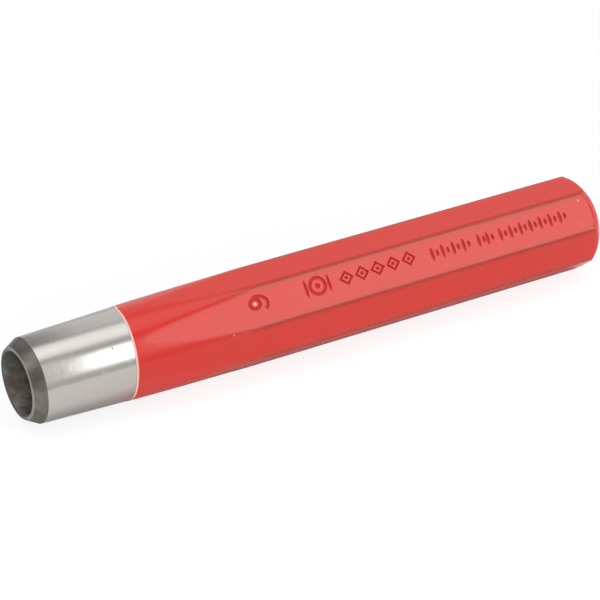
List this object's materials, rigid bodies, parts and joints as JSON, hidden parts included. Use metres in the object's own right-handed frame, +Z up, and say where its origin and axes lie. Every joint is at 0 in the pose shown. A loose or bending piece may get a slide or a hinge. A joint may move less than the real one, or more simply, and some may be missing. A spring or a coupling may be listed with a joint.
{
  "type": "drive hole punch",
  "caption": "Octagonal red lacquered steel punch with a bare ground tubular cutting end, an outer bevel and a side window for the slugs; struck with a hammer to punch round holes in leather.",
  "frame": {"origin": "middle of the flat that the punch lies on", "axes": "+X along the punch from the cutting edge to the struck end, +Y towards the side with the slug window, +Z up"},
  "size_m": [0.0904, 0.013, 0.013],
  "materials": {
    "ground_steel": "ground bright",
    "forged_steel": "dark, as milled and drilled",
    "red_lacquer": "glossy red lacquer"
  },
  "bodies": {
    "root": {"cutting_head": "ground_steel", "shank": "forged_steel", "lacquer_coat": "red_lacquer"}
  },
  "joints": []
}
